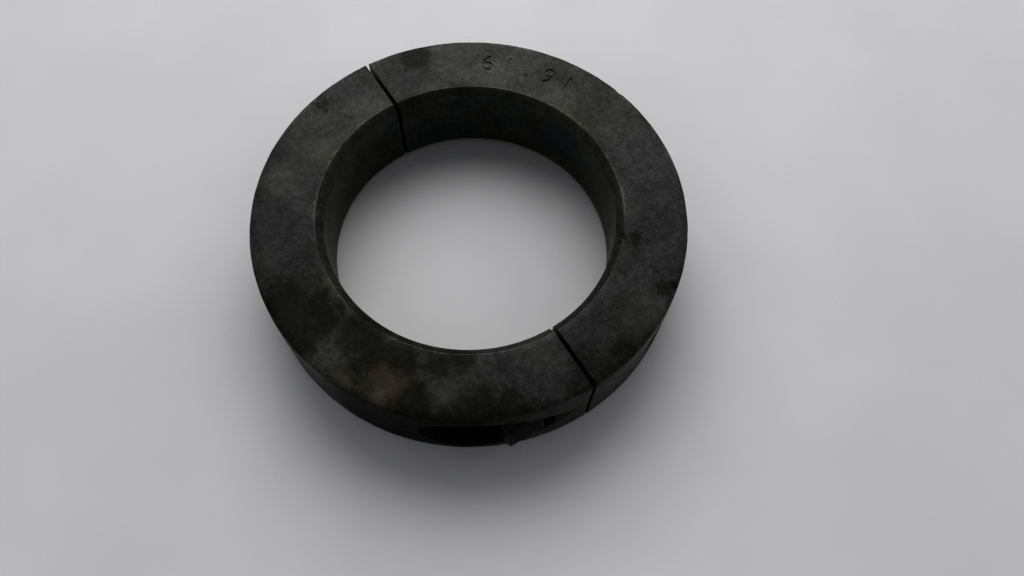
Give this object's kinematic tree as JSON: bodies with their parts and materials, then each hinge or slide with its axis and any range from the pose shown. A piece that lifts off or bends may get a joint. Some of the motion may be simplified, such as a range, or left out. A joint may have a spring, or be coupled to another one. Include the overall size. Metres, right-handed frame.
{
  "type": "split shaft collar",
  "caption": "Split clamp collar in dark oxided steel: half rings drawn together around a shaft by opposed socket-head cap screws in counterbored pockets.",
  "frame": {"origin": "on the bore's axis, level with the collar's lower face", "axes": "+Z along the bore, +X along the split towards the front half's screw head, +Y from the front half towards the rear half"},
  "size_m": [0.092, 0.092, 0.0191],
  "materials": {
    "ring_steel": "black oxide, oiled, worn to bare steel on the edges, with a little rust",
    "screw_steel": "black oxide alloy steel, oily"
  },
  "bodies": {
    "front_half": {"front_half": "ring_steel"},
    "rear_half": {"rear_half": "ring_steel"},
    "right_screw": {"right_screw": "screw_steel"},
    "left_screw": {"left_screw": "screw_steel"}
  },
  "joints": [
    {"name": "rear_half_slide", "type": "slide", "parent": "front_half", "child": "rear_half", "axis": [0, 1, 0], "range_m": [-0.00053, 0.01376]},
    {"name": "right_screw_turn", "type": "hinge", "parent": "front_half", "child": "right_screw", "pos_m": [0.03925, -0.0105, 0.00953], "axis": [0, -1, 0], "range_deg": [-180, 4680]},
    {"name": "left_screw_turn", "type": "hinge", "parent": "rear_half", "child": "left_screw", "pos_m": [-0.03925, 0.0105, 0.00953], "axis": [0, 1, 0], "range_deg": [-180, 4680]}
  ],
  "couplings": [
    {"joint": "right_screw_turn", "follows": "rear_half_slide", "rad_per_m": 5936.9},
    {"joint": "left_screw_turn", "follows": "rear_half_slide", "rad_per_m": 5936.9}
  ]
}
